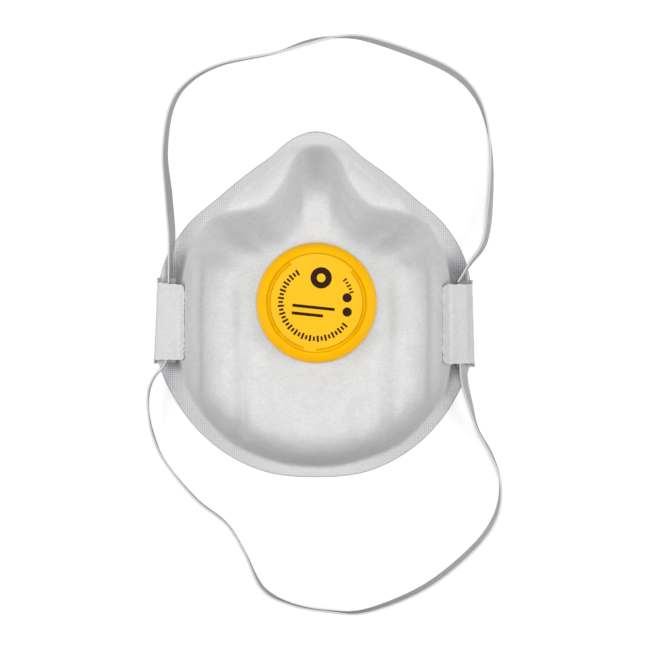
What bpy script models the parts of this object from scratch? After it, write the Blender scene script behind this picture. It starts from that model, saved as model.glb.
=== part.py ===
"""Disposable dust mask: a moulded felt cup with a welded rim, two strap sleeves, elastic straps
and a round exhalation valve. Metres, +Z up. The mask rests on its rim, face opening down.

The origin is on the rim's underside, straight below the valve. +Y points to the nose, +Z out
through the valve, and X runs from one cheek to the other.
"""

import math

import bmesh
import bpy
from mathutils import Vector

MM = 0.001

# Cup and rim, in millimetres.
RIM_TOP = 2.4
PLATFORM_HEIGHT = 47.0
PLATFORM_RADIUS = 23.0
VALVE_HOLE_RADIUS = 15.3
CUP_STEPS = 60
WALL_STATIONS = (0.2, 0.4, 0.55, 0.68, 0.8, 0.92)
SLOPE_STEP = 0.05
FOOT_SLOPE_INSET = 0.4
# Half outlines from the nose round the right cheek to the chin, as (x, y).
RIM_OUTLINE = ((0, 68.4), (8.8, 65.9), (20, 57), (38, 43), (52.4, 30), (61.5, 14), (63.2, -5),
               (63.4, -22), (56.4, -38.6), (41.8, -56), (21.2, -67.2), (0, -69.6))
FOOT_OUTLINE = ((0, 62.8), (4.8, 62.1), (7.7, 59.9), (10.4, 55.8), (13.4, 49.3), (18.9, 42.5),
                (24.8, 38.8), (34.5, 36.3), (43.7, 32.8), (49.4, 25), (53.8, 12), (55, -6),
                (54.6, -25), (52, -34.5), (46.2, -43.5), (34.4, -55.4), (20.6, -61.8), (0, -65.2))
# The rim is trimmed this much closer on the right cheek, coming in and going out between these
# directions from the nose, in degrees.
RIM_TRIM = 1.4
RIM_TRIM_IN = (50, 90)
RIM_TRIM_OUT = (100, 178)
# Wall shape by direction from the nose, in degrees: the share of the way out where the crown
# turns down into the wall, and how softly. The cheeks beside the nose are plain slopes.
WALL_SHAPES = ((0, 0.50, 0.07), (6, 0.47, 0.07), (14, 0.27, 0.08), (30, 0.15, 0.08),
               (45, 0.17, 0.08), (60, 0.34, 0.09), (75, 0.52, 0.11), (90, 0.60, 0.12),
               (115, 0.62, 0.11), (134, 0.80, 0.075), (180, 0.84, 0.075))

# Layers as (outer face, inner face), each in millimetres below the cup's outer surface, first in
# the rim, where the layers are welded flat, and then in the wall.
LAYERS = {
    "outer_cover": ((0.0, 0.9), (0.0, 1.6)),
    "filter_layer": ((1.2, 1.5), (1.9, 2.3)),
    "inner_lining": ((1.8, 2.4), (2.6, 3.1)),
}

# Nose clip and nose foam, inside the cup, as the share of the way from the platform to the foot.
NOSE_HALF_ANGLE = 48
NOSE_STEPS = 16
CLIP_BAND = (0.85, 0.89)
CLIP_DEPTHS = (3.8, 4.3)
FOAM_BAND = (0.80, 0.93)
FOAM_DEPTHS = (3.8, 6.8)
FOAM_GROOVE = (0.838, 0.902)
FOAM_GROOVE_DEPTH = 4.7

# Strap sleeves: a strip folded at the rim's edge, as a closed section (outwards, up) from the
# weld line, with its outer and its inner face.
WELD_LINE = 55.6
SLEEVE_OUTER = ((0, 2.7), (7.2, 2.7), (8.0, 3.1), (8.4, 4.6), (8.0, 6.6), (6.6, 8.3), (3.6, 9.8),
                (0.6, 10.5), (-1.6, 10.5), (-2.3, 9.9), (-1.6, 7.9), (-0.7, 5.2))
SLEEVE_INNER = ((0.7, 3.3), (6.9, 3.3), (7.4, 3.6), (7.8, 4.7), (7.45, 6.3), (6.2, 7.8),
                (3.4, 9.2), (0.5, 9.9), (-1.3, 9.9), (-1.65, 9.6), (-1.0, 7.9), (-0.1, 5.3))
SLEEVE_SPANS = {"left": (-22.6, 8.6), "right": (-24.0, 7.6)}
# How much nearer the weld line each sleeve's fold lies, taken up between these two distances.
SLEEVE_TUCK = {"left": 0.0, "right": 1.6}
SLEEVE_TUCK_SPAN = (3.0, 6.8)

# Elastic: its section, the height of its centre in the sleeves, and where its loops bend.
STRAP_WIDTH = 5.0
STRAP_THICKNESS = 1.0
STRAP_FLOOR_GAP = 0.1
SLEEVE_STRAP_Z = 6.2
DESCENT_START = 9.0
DESCENT_LENGTH = 26.0
STATION_SPACING = 6.5
# Each end of a loop is rounded about its hinge line, over this length and this close to it.
END_LENGTH = 8.0
END_REACH = 3.0
END_SPACING = 0.8
END_HALF_WIDTH = 0.45
HEAD_HINGE_Y = 14.0
NECK_HINGE_Y = -28.0
# Routes as (x, y, lean): the band stands on its edge, and leans outwards by so many degrees.
HEAD_ROUTE = ((-58.4, 11.7, 0), (-58, 18, 10), (-57.4, 26.4, 28), (-58.9, 42.8, 30),
              (-60.3, 60.4, 19), (-57.7, 77.7, 15), (-50.9, 87.8, 7), (-38.2, 94.8, 0),
              (-16.9, 99.3, -7), (-4.3, 103.5, -23), (6, 105.6, -10), (18.9, 105.3, 12),
              (39.4, 98.8, 21), (54.1, 91.9, 21), (62.7, 83.7, 15), (67.3, 73.2, 3),
              (69.6, 57.5, -15), (68.9, 37, -30), (66.5, 23.8, -26), (61.4, 16.4, -16),
              (57.4, 11.7, -8))
NECK_ROUTE = ((-60.8, -25.6, 0), (-64, -28.8, 0), (-66.4, -34.5, 0), (-66.9, -42.5, -5),
              (-65.1, -52.7, 1), (-60.3, -63.7, -5), (-48, -78.4, -1), (-36, -88.1, -3),
              (-28.7, -99.7, -3), (-21.5, -113.9, 8), (-9.8, -120.5, -2), (4.9, -123.2, -6),
              (19.9, -123.1, 7), (42.7, -113.9, 15), (61.5, -99.1, 16), (71.2, -86, 13),
              (73.5, -72.4, -2), (69.8, -60.6, -13), (64.1, -50.3, -11), (60.9, -39.9, -26),
              (58.8, -32, -36), (58.2, -25.6, -40))
# The stretches inside the sleeves, as (x, y, lean), from the neck end to the head end.
LEFT_RUN = ((-60.4, -25.15, 0), (-58.8, -21, 0), (-58.5, -7, 0), (-58.5, 11.15, 0))
RIGHT_RUN = ((58.2, -25.15, 40), (58.2, -18, 36), (57.6, -7, 24), (57, 5.5, 10), (57.4, 11.15, 8))

# Valve, in millimetres, with heights above the seat's underside.
VALVE_STEPS = 48
JOIN_OVERLAP = 0.6
SEAT_BASE = 47.3
SEAT_PROFILE = ((22.2, 0.0), (22.2, 2.9), (21.4, 4.7), (20.2, 5.9), (18.9, 6.6), (18.2, 6.6),
                (17.7, 6.2), (17.4, 1.6), (13.9, 1.6), (13.6, 3.0), (13.2, 3.0), (12.9, 1.6),
                (12.6, 1.4), (12.6, -5.4), (13.2, -5.8), (15.0, -5.2), (15.0, 0.0))
SPOKE_COUNT = 6
SPOKE_SIZE = (1.4, 1.2)
SPOKE_MIDDLE = 0.9
HUB_RADIUS = 2.4
HUB_RAISE = 0.1
STUD_RADIUS = 0.9
STUD_TOP = 5.3
DIAPHRAGM_RADII = (1.2, 14.0)
DIAPHRAGM_HEIGHTS = (3.3, 3.7)
CAP_RADIUS = 16.9
CAP_SHIELD_RADIUS = 18.1
CAP_SHIELD_ANGLES = (42, 123)
CAP_LATCH_ANGLES = (254, 270)
CAP_HEIGHTS = (7.0, 8.3)
CAP_BEVEL = 0.35
CAP_NOTCH = 0.5
CAP_STEPS = 72
CAP_LEG_COUNT = 4
CAP_LEG_RADIUS = 1.0
CAP_LEG_CIRCLE = 15.7
CAP_LEG_FOOT = 1.9
RING_RADII = (15.3, 19.0)
RING_TOP = -3.7
RING_THICKNESS = 1.5

FELT = (0.86, 0.86, 0.85)
WEB = (0.90, 0.91, 0.92)
ELASTIC = (0.78, 0.78, 0.78)
YELLOW = (0.95, 0.60, 0.04)
DEEP_YELLOW = (0.90, 0.50, 0.02)
SILICONE = (0.80, 0.82, 0.80)
ALUMINIUM = (0.78, 0.79, 0.80)
FOAM = (0.30, 0.31, 0.33)


# ---- scene and mesh helpers ----------------------------------------------------------------

def clear_scene():
    for obj in list(bpy.data.objects):
        bpy.data.objects.remove(obj, do_unlink=True)


def surface_material(name, colour, roughness, metallic=0.0):
    material = bpy.data.materials.new(name)
    material.use_nodes = True
    shader = material.node_tree.nodes["Principled BSDF"]
    shader.inputs["Base Color"].default_value = (*colour, 1.0)
    shader.inputs["Roughness"].default_value = roughness
    shader.inputs["Metallic"].default_value = metallic
    material.diffuse_color = (*colour, 1.0)
    return material


def add_object(name, mesh_builder, material, origin=(0, 0, 0), smooth_angle=35):
    """Writes a bmesh in millimetres to an object in metres, with its origin at the given point."""
    bmesh.ops.recalc_face_normals(mesh_builder, faces=mesh_builder.faces[:])
    for vertex in mesh_builder.verts:
        vertex.co = (vertex.co - Vector(origin)) * MM
    mesh = bpy.data.meshes.new(name)
    mesh_builder.to_mesh(mesh)
    mesh_builder.free()
    mesh.shade_smooth()
    mesh.set_sharp_from_angle(angle=math.radians(smooth_angle))
    obj = bpy.data.objects.new(name, mesh)
    obj.location = Vector(origin) * MM
    bpy.context.scene.collection.objects.link(obj)
    if material:
        mesh.materials.append(material)
    return obj


def loft(sections, wrap, flip_from=None):
    """Joins equal closed sections with triangles. wrap joins the last to the first, and otherwise
    both ends are capped. From point flip_from on, each facet is split along its other diagonal."""
    builder = bmesh.new()
    rows = [[builder.verts.new(point) for point in section] for section in sections]
    count = len(sections[0])
    if flip_from is None:
        flip_from = count
    for i in range(len(rows) if wrap else len(rows) - 1):
        here, after = rows[i], rows[(i + 1) % len(rows)]
        for k in range(count):
            a, b, c, d = here[k], here[(k + 1) % count], after[(k + 1) % count], after[k]
            if k < flip_from:
                corners = ((a, b, c), (a, c, d))
            else:
                corners = ((a, b, d), (b, c, d))
            for corner in corners:
                builder.faces.new(corner)
    if not wrap:
        builder.faces.new(rows[0])
        builder.faces.new(list(reversed(rows[-1])))
    return builder


def lathe(profile, steps):
    """A closed (radius, height) profile turned about the valve's axis."""
    sections = []
    for i in range(steps):
        angle = math.tau * i / steps
        sections.append([(r * math.cos(angle), r * math.sin(angle), z) for r, z in profile])
    return loft(sections, wrap=True)


def join_helpers(obj, helpers):
    """Unites the helper solids with the object, and keeps them out of the model."""
    for helper in helpers:
        helper.hide_render = True
        helper.display_type = "WIRE"
        union = obj.modifiers.new("join_" + helper.name, "BOOLEAN")
        union.operation = "UNION"
        union.solver = "EXACT"
        union.object = helper


def helper_cylinder(name, radius, low, high, centre=(0, 0), sides=20):
    section = [(radius * math.cos(math.tau * i / sides) + centre[0],
                radius * math.sin(math.tau * i / sides) + centre[1]) for i in range(sides)]
    builder = loft([[(x, y, z) for x, y in section] for z in (low, high)], wrap=False)
    return add_object(name, builder, None)


# ---- the cup's surface ---------------------------------------------------------------------

def smoothstep(share):
    share = min(max(share, 0.0), 1.0)
    return share * share * (3 - 2 * share)


def outline_radius(points, angle):
    """Radius of a symmetric half outline, at an angle from the nose direction, as a smooth curve."""
    angle = abs((angle + math.pi) % math.tau - math.pi)
    knots = [(math.atan2(x, y), math.hypot(x, y)) for x, y in points]
    knots = [(-knots[1][0], knots[1][1])] + knots + [(math.tau - knots[-2][0], knots[-2][1])]
    for i in range(1, len(knots) - 2):
        (a0, r0), (a1, r1), (a2, r2), (a3, r3) = knots[i - 1:i + 3]
        if angle <= a2 or i == len(knots) - 3:
            break
    span = a2 - a1
    t = min(max((angle - a1) / span, 0.0), 1.0)
    start_slope = (r2 - r0) / (a2 - a0) * span
    end_slope = (r3 - r1) / (a3 - a1) * span
    return ((2 * t**3 - 3 * t**2 + 1) * r1 + (t**3 - 2 * t**2 + t) * start_slope
            + (3 * t**2 - 2 * t**3) * r2 + (t**3 - t**2) * end_slope)


def rim_radius(angle):
    """Radius of the rim's edge, trimmed closer on the right cheek."""
    degrees = math.degrees(angle) % 360
    (start, full), (fading, end) = RIM_TRIM_IN, RIM_TRIM_OUT
    trim = smoothstep((degrees - start) / (full - start)) * smoothstep((end - degrees) / (end - fading))
    return outline_radius(RIM_OUTLINE, angle) - RIM_TRIM * trim


def direction(angle):
    """Unit vector at an angle from the nose direction, positive towards +X."""
    return math.sin(angle), math.cos(angle)


def wall_shape(angle):
    """Where the crown turns down in a direction, and how softly, between the listed ones."""
    degrees = abs(math.degrees(angle))
    for (low, *before), (high, *after) in zip(WALL_SHAPES, WALL_SHAPES[1:]):
        if degrees <= high:
            break
    share = smoothstep((degrees - low) / (high - low))
    return [a + (b - a) * share for a, b in zip(before, after)]


def cup_height(x, y):
    """Height of the cup's outer surface, inside its foot."""
    radius = math.hypot(x, y)
    angle = math.atan2(x, y)
    foot = outline_radius(FOOT_OUTLINE, angle)
    share = min(max((radius - PLATFORM_RADIUS) / (foot - PLATFORM_RADIUS), 0.0), 1.0)
    start, softness = wall_shape(angle)
    at_top, here, at_foot = (math.log1p(math.exp((s - start) / softness)) for s in (0, share, 1))
    return RIM_TOP + (PLATFORM_HEIGHT - RIM_TOP) * (at_foot - here) / (at_foot - at_top)


def cup_normal(x, y):
    step = SLOPE_STEP
    inward = 1 - step / math.hypot(x, y)
    x, y = x * inward, y * inward
    slope_x = (cup_height(x + step, y) - cup_height(x - step, y)) / (2 * step)
    slope_y = (cup_height(x, y + step) - cup_height(x, y - step)) / (2 * step)
    return Vector((-slope_x, -slope_y, 1)).normalized()


def wall_point(angle, share, depth):
    """Point at a share of the way from platform to foot, and at a depth under the surface."""
    foot = outline_radius(FOOT_OUTLINE, angle)
    radius = PLATFORM_RADIUS + share * (foot - PLATFORM_RADIUS)
    x, y = (radius * part for part in direction(angle))
    return Vector((x, y, cup_height(x, y))) - depth * cup_normal(x, y)


def foot_point(angle, rim_depth, wall_depth):
    """Corner where a layer's flat rim meets its wall, at its depth in each."""
    foot = outline_radius(FOOT_OUTLINE, angle)
    x, y = (foot * part for part in direction(angle))
    inside = 1 - FOOT_SLOPE_INSET / foot
    normal = cup_normal(x * inside, y * inside)
    across = Vector((normal.x, normal.y, 0))
    shift = (normal.z * rim_depth - wall_depth) / across.length
    return Vector((x, y, RIM_TOP - rim_depth)) + across.normalized() * shift


def layer_face(angle, rim_depth, wall_depth):
    """One face of a layer, as points from the valve hole out to the rim's edge."""
    across = Vector((*direction(angle), 0))
    edge = rim_radius(angle)
    level = Vector((0, 0, PLATFORM_HEIGHT - wall_depth))
    points = [across * VALVE_HOLE_RADIUS + level, across * PLATFORM_RADIUS + level]
    points += [wall_point(angle, share, wall_depth) for share in WALL_STATIONS]
    points.append(foot_point(angle, rim_depth, wall_depth))
    points.append(across * edge + Vector((0, 0, RIM_TOP - rim_depth)))
    return points


# ---- cup parts -----------------------------------------------------------------------------

def make_layer(name, material):
    (rim_outer, rim_inner), (wall_outer, wall_inner) = LAYERS[name]
    sections = []
    for i in range(CUP_STEPS):
        angle = math.tau * i / CUP_STEPS
        outer = layer_face(angle, rim_outer, wall_outer)
        inner = layer_face(angle, rim_inner, wall_inner)
        sections.append(outer + list(reversed(inner)))
    add_object(name, loft(sections, wrap=True, flip_from=len(outer)), material, smooth_angle=60)


def nose_sections(section):
    """A section of (share, depth) points carried across the bridge of the nose."""
    rows = []
    for i in range(NOSE_STEPS + 1):
        angle = math.radians(NOSE_HALF_ANGLE) * (2 * i / NOSE_STEPS - 1)
        rows.append([wall_point(angle, share, depth) for share, depth in section])
    return rows


def make_nose_clip(material):
    (low, high), (near, far) = CLIP_BAND, CLIP_DEPTHS
    section = ((low, near), (high, near), (high, far), (low, far))
    add_object("nose_clip", loft(nose_sections(section), wrap=False), material)


def make_nose_foam(material):
    (low, high), (near, far) = FOAM_BAND, FOAM_DEPTHS
    groove_low, groove_high = FOAM_GROOVE
    section = ((low, near), (groove_low, near), (groove_low, FOAM_GROOVE_DEPTH),
               (groove_high, FOAM_GROOVE_DEPTH), (groove_high, near), (high, near),
               (high, far), (low, far))
    add_object("nose_foam", loft(nose_sections(section), wrap=False), material)


def make_sleeve(side, material):
    """A folded strip whose two legs are welded along its inner edge, open at both ends."""
    sign = {"left": -1, "right": 1}[side]
    low, high = SLEEVE_SPANS[side]
    near, far = SLEEVE_TUCK_SPAN
    sections = []
    for (out, up), (out_in, up_in) in zip(SLEEVE_OUTER, SLEEVE_INNER):
        x, x_in = (sign * (WELD_LINE + reach - SLEEVE_TUCK[side]
                           * min(max((reach - near) / (far - near), 0.0), 1.0))
                   for reach in (out, out_in))
        sections.append([(x, low, up), (x, high, up), (x_in, high, up_in), (x_in, low, up_in)])
    add_object(side + "_strap_sleeve", loft(sections, wrap=True), material, smooth_angle=60)


# ---- elastic -------------------------------------------------------------------------------

def smooth_route(points, spacing):
    """Evenly spaced points on a Catmull-Rom curve through the route's own points."""
    points = [Vector(point) for point in points]
    ends = [2 * points[0] - points[1]] + points + [2 * points[-1] - points[-2]]
    fine = []
    for p0, p1, p2, p3 in zip(ends, ends[1:], ends[2:], ends[3:]):
        for t in (step / 12 for step in range(12)):
            fine.append(0.5 * (2 * p1 + (p2 - p0) * t + (2 * p0 - 5 * p1 + 4 * p2 - p3) * t**2
                               + (3 * p1 - p0 - 3 * p2 + p3) * t**3))
    fine.append(points[-1])
    lengths = [0.0]
    for a, b in zip(fine, fine[1:]):
        lengths.append(lengths[-1] + (b - a).xy.length)
    count = max(round(lengths[-1] / spacing), 3)
    spaced, index = [], 0
    for i in range(count + 1):
        target = lengths[-1] * i / count
        while index < len(fine) - 2 and lengths[index + 1] < target:
            index += 1
        share = (target - lengths[index]) / (lengths[index + 1] - lengths[index])
        spaced.append((fine[index].lerp(fine[index + 1], share), target))
    return spaced, lengths[-1]


def lying_height(lean):
    """Height of the centre of a band that leans on the floor by so many radians."""
    half_up = (STRAP_WIDTH * math.cos(lean) + STRAP_THICKNESS * abs(math.sin(lean))) / 2
    return half_up + STRAP_FLOOR_GAP


def band_section(centre, along, lean, width):
    """Rectangle across the band. A positive lean tips its top to the left of its direction."""
    beside = Vector((-along.y, along.x, 0)).normalized()
    up = Vector((0, 0, math.cos(lean))) + beside * math.sin(lean)
    through = along.cross(up).normalized() * (STRAP_THICKNESS / 2)
    half = up * (width / 2)
    return [centre + half + through, centre + half - through,
            centre - half - through, centre - half + through]


def loop_stations(route, hinge_y):
    """Stations of a loop: extra ones where its rounded ends turn about the hinge line."""
    spaced, total = smooth_route(route, STATION_SPACING)
    end_stations, _ = smooth_route(route, END_SPACING)
    near = [item for item in end_stations if abs(item[0].y - hinge_y) < END_REACH]
    far = [item for item in spaced if abs(item[0].y - hinge_y) >= END_REACH]
    return sorted(near + far, key=lambda item: item[1]), total


def make_loop(name, route, hinge_y, turn, material):
    """A loop of elastic on its edge. turn is -1 where outwards is to its right as it runs."""
    stations, total = loop_stations(route, hinge_y)
    sections = []
    for i, (point, length) in enumerate(stations):
        before = stations[max(i - 1, 0)][0]
        after = stations[min(i + 1, len(stations) - 1)][0]
        along = Vector(((after - before).x, (after - before).y, 0)).normalized()
        lean = math.radians(point.z)
        to_end = min(length, total - length)
        share = smoothstep((to_end - DESCENT_START) / DESCENT_LENGTH)
        centre = Vector((point.x, point.y,
                         SLEEVE_STRAP_Z + (lying_height(lean) - SLEEVE_STRAP_Z) * share))
        offset = point.y - hinge_y
        width = STRAP_WIDTH
        if to_end < END_LENGTH and offset * hinge_y < 0:
            half_square = (STRAP_WIDTH / 2) ** 2 - offset**2
            width = 2 * math.sqrt(max(half_square, END_HALF_WIDTH**2))
        sections.append(band_section(centre, along, lean * turn, width))
    add_object(name, loft(sections, wrap=False), material,
               origin=(0, hinge_y, SLEEVE_STRAP_Z), smooth_angle=50)


def make_run(name, route, material):
    """The stretch of elastic that lies inside a sleeve."""
    spaced, _ = smooth_route(route, STATION_SPACING)
    sections = []
    for i, (point, _) in enumerate(spaced):
        before, after = spaced[max(i - 1, 0)][0], spaced[min(i + 1, len(spaced) - 1)][0]
        along = Vector(((after - before).x, (after - before).y, 0)).normalized()
        centre = Vector((point.x, point.y, SLEEVE_STRAP_Z))
        sections.append(band_section(centre, along, math.radians(point.z), STRAP_WIDTH))
    add_object(name, loft(sections, wrap=False), material)


# ---- valve ---------------------------------------------------------------------------------

def make_valve_seat(material):
    profile = [(r, z + SEAT_BASE) for r, z in SEAT_PROFILE]
    seat = add_object("valve_seat", lathe(profile, VALVE_STEPS), material, smooth_angle=30)
    width, thickness = SPOKE_SIZE
    low = SEAT_BASE + SPOKE_MIDDLE - thickness / 2
    helpers = [helper_cylinder("hub", HUB_RADIUS, low - HUB_RAISE, low + thickness + HUB_RAISE),
               helper_cylinder("stud", STUD_RADIUS, low + thickness / 2, SEAT_BASE + STUD_TOP,
                               sides=12)]
    bore = min(r for r, z in SEAT_PROFILE)
    for i in range(SPOKE_COUNT):
        angle = math.tau * (i + 0.5) / SPOKE_COUNT
        along = Vector((math.cos(angle), math.sin(angle), 0))
        beside = Vector((-along.y, along.x, 0)) * width / 2
        sections = []
        for reach in (HUB_RADIUS / 2, bore + JOIN_OVERLAP):
            middle = along * reach + Vector((0, 0, low))
            lift = Vector((0, 0, thickness))
            sections.append([middle - beside, middle + beside,
                             middle + beside + lift, middle - beside + lift])
        helpers.append(add_object(f"spoke_{i + 1}", loft(sections, wrap=False), None))
    join_helpers(seat, helpers)


def make_valve_diaphragm(material):
    (inner, outer), (low, high) = DIAPHRAGM_RADII, DIAPHRAGM_HEIGHTS
    profile = [(inner, low + SEAT_BASE), (outer, low + SEAT_BASE),
               (outer, high + SEAT_BASE), (inner, high + SEAT_BASE)]
    add_object("valve_diaphragm", lathe(profile, VALVE_STEPS), material,
               origin=(0, 0, low + SEAT_BASE))


def cap_radius(degrees):
    """The cap's edge: wider over the shield that turns breath away from the eyes, and at the latch."""
    for low, high in (CAP_SHIELD_ANGLES, CAP_LATCH_ANGLES):
        if low <= degrees <= high:
            return CAP_SHIELD_RADIUS
    return CAP_RADIUS


def make_valve_cap(material):
    low, high = (height + SEAT_BASE for height in CAP_HEIGHTS)
    angles = sorted({360 * i / CAP_STEPS for i in range(CAP_STEPS)}
                    | {edge + nudge for edge in (*CAP_SHIELD_ANGLES, *CAP_LATCH_ANGLES)
                       for nudge in (-CAP_NOTCH, CAP_NOTCH)})
    sections = []
    for z, inset in ((low, CAP_BEVEL), (low + CAP_BEVEL, 0), (high - CAP_BEVEL, 0), (high, CAP_BEVEL)):
        sections.append([((cap_radius(a) - inset) * math.cos(math.radians(a)),
                          (cap_radius(a) - inset) * math.sin(math.radians(a)), z) for a in angles])
    cap = add_object("valve_cap", loft(sections, wrap=False), material)
    legs = []
    for i in range(CAP_LEG_COUNT):
        angle = math.tau * (i + 0.5) / CAP_LEG_COUNT
        centre = (CAP_LEG_CIRCLE * math.cos(angle), CAP_LEG_CIRCLE * math.sin(angle))
        legs.append(helper_cylinder(f"leg_{i + 1}", CAP_LEG_RADIUS, SEAT_BASE + CAP_LEG_FOOT,
                                    low + JOIN_OVERLAP, centre, sides=12))
    join_helpers(cap, legs)


def make_retaining_ring(material):
    inner, outer = RING_RADII
    top = SEAT_BASE + RING_TOP
    bottom = top - RING_THICKNESS
    bevel = RING_THICKNESS / 4
    profile = [(inner, bottom), (outer - bevel, bottom), (outer, bottom + bevel), (outer, top),
               (inner, top)]
    add_object("valve_retaining_ring", lathe(profile, VALVE_STEPS), material)


def build():
    clear_scene()
    felt = surface_material("white_felt", FELT, 0.95)
    make_layer("outer_cover", felt)
    make_layer("filter_layer", surface_material("filter_web", WEB, 0.9))
    make_layer("inner_lining", surface_material("lining_web", WEB, 0.95))
    make_nose_clip(surface_material("aluminium_strip", ALUMINIUM, 0.35, 1.0))
    make_nose_foam(surface_material("grey_foam", FOAM, 0.95))
    sleeve_web = surface_material("sleeve_web", WEB, 0.85)
    for side in SLEEVE_SPANS:
        make_sleeve(side, sleeve_web)
    elastic = surface_material("ribbed_elastic", ELASTIC, 0.8)
    make_loop("head_strap", HEAD_ROUTE, HEAD_HINGE_Y, 1, elastic)
    make_loop("neck_strap", NECK_ROUTE, NECK_HINGE_Y, -1, elastic)
    make_run("left_strap_run", LEFT_RUN, elastic)
    make_run("right_strap_run", RIGHT_RUN, elastic)
    make_valve_seat(surface_material("deep_yellow_plastic", DEEP_YELLOW, 0.4))
    make_valve_diaphragm(surface_material("silicone", SILICONE, 0.5))
    make_valve_cap(surface_material("yellow_plastic", YELLOW, 0.4))
    make_retaining_ring(surface_material("ring_plastic", YELLOW, 0.45))


build()
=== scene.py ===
"""Looks of the disposable dust mask: felt cup, welded rim, strap sleeves, elastic and valve.

Lengths in the tables are millimetres in the CAD's frame: +Y to the nose, +Z out of the valve.
"""
import math

import bpy
import numpy as np
from mathutils import Matrix, Vector, noise


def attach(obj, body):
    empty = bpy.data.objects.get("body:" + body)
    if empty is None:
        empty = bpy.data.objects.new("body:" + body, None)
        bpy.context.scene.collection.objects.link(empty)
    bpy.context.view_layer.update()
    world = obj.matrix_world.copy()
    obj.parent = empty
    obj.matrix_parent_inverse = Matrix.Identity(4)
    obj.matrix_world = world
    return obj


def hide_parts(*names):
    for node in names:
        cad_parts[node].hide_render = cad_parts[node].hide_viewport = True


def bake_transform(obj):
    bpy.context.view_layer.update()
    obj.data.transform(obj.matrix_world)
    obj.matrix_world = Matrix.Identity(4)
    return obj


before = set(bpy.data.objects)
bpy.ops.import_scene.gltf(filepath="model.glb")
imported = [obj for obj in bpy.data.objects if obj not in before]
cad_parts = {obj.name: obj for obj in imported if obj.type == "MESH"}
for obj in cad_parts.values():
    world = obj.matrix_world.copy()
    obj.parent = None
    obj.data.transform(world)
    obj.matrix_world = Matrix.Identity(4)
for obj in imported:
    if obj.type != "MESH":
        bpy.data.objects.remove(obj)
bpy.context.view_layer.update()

MM = 0.001

# Camera straight above the valve, looking at the middle of the whole object.
CAMERA_AT = (0.0, 0.0, 0.65)
CAMERA_TARGET = (0.0034, -0.0088, 0.0)
CAMERA_LENS = 90.0
CAMERA_SENSOR = 36.0

# Studio: each light's place, size, power and whether plastic mirrors it.
LIGHTS = (("softbox_left", (-0.78, -0.12, 0.45), (0.5, 0.5), 3.05, True),
          ("softbox_right", (0.78, -0.12, 0.45), (0.5, 0.5), 2.95, True),
          ("softbox_head", (0.0, 0.8, 0.45), (0.5, 0.3), 1.15, True),
          ("overhead", (0.0, 0.0, 1.3), (0.6, 0.6), 8.3, False))
LIGHT_TARGET = (0, 0, 0.02)
WORLD_STRENGTH = 0.12
FLOOR_HALF = 3.0
FLOOR_GLOW = 0.32

# Cup and rim.
RIM_TOP = 2.4
TOP_HEIGHT = 47.0
TOP_RADIUS = 23.0
HOLE_RADIUS = 15.3
RIM_OUTLINE = (
    (0, 68.4), (8.8, 65.9), (20, 57), (38, 43), (52.4, 30), (61.5, 14), (63.2, -5), (63.4, -22),
    (56.4, -38.6), (41.8, -56), (21.2, -67.2), (0, -69.6))
FOOT_OUTLINE = (
    (0, 62.8), (4.8, 62.1), (7.7, 59.9), (10.4, 55.8), (13.4, 49.3), (18.9, 42.5), (24.8, 38.8),
    (34.5, 36.3), (43.7, 32.8), (49.4, 25), (53.8, 12), (55, -6), (54.6, -25), (52, -34.5),
    (46.2, -43.5), (34.4, -55.4), (20.6, -61.8), (0, -65.2))
# Closer trim of the rim on the right cheek, and the degrees where it comes in and goes out.
RIM_TRIM = 1.4
RIM_TRIM_IN = (50, 90)
RIM_TRIM_OUT = (100, 178)
# Wall's profile as (degrees from the nose, start of the slope, softness).
WALL_SHAPES = (
    (0, 0.50, 0.07), (6, 0.47, 0.07), (14, 0.27, 0.08), (30, 0.15, 0.08), (45, 0.17, 0.08),
    (60, 0.34, 0.09), (75, 0.52, 0.11), (90, 0.60, 0.12), (115, 0.62, 0.11), (134, 0.80, 0.075),
    (180, 0.84, 0.075))
FILLET_TAPS = ((-1.0, 1), (-0.5, 2), (0, 3), (0.5, 2), (1.0, 1))
# The fillet is this many times wider on the shelves beside the nose.
SHELF_FILLET = 1.5
SHELF_ALONG = (26, 34)
SHELF_ACROSS = (7, 13)
# Width over which the cover settles from wall to rim.
FOOT_FADE = 3.0
# Past the weld band the felt is loose, and rises in a soft welt where the shelf is wide. The
# welt is at its height from this share of the way to the foot, to this far inside the foot.
WELD_BAND = 4.4
WELD_BAND_FADE = (-0.8, 0.6)
WELT_WIDTHS = (6.0, 13.0)
WELT_ALONG = (24, 32)
WELT_HEIGHT = 3.2
WELT_CREST = 0.75
WELT_INSIDE_FOOT = 3.0
# The weld fades where the cover has risen by this much, as (whole, none).
WELD_RISE = (0.12, 0.52)
# Rim's edge as (inwards, down): the cover rolled over the layers under it.
RIM_LIP = (
    (0.9, 0.0), (0.55, 0.07), (0.26, 0.26), (0.07, 0.55), (0.0, 0.9), (0.0, 2.0), (0.12, 2.26),
    (0.4, 2.34), (0.7, 2.2), (0.8, 1.7))
# Rows round the cup, and rings over its flat top, its wall and its rim.
CUP_ANGLES = 480
FLAT_RINGS, WALL_RINGS, RIM_RINGS = 6, 64, 16
# Depths of each layer's outer face and then its inner face, as (at the rim, in the wall).
LAYERS = {"outer_felt": ((0.0, 0.0), (0.9, 1.5)), "filter_web": ((0.95, 1.6), (1.55, 2.1)),
          "lining_web": ((1.65, 2.2), (2.35, 2.9))}
UNDER_INSET = 0.9
# Upright pleats: distance from the middle, depth, half width, the y where each starts and ends,
# and the length over which its head end fades.
PLEATS = (
    (45.2, 1.2, 1.7, -44, 22, 12), (27.8, 2.5, 2.0, -57, 26, 60), (15.4, 1.2, 2.2, -60, -28, 15))
PLEAT_FADE = 15.0
PLEAT_SHIFT = -0.7
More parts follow.
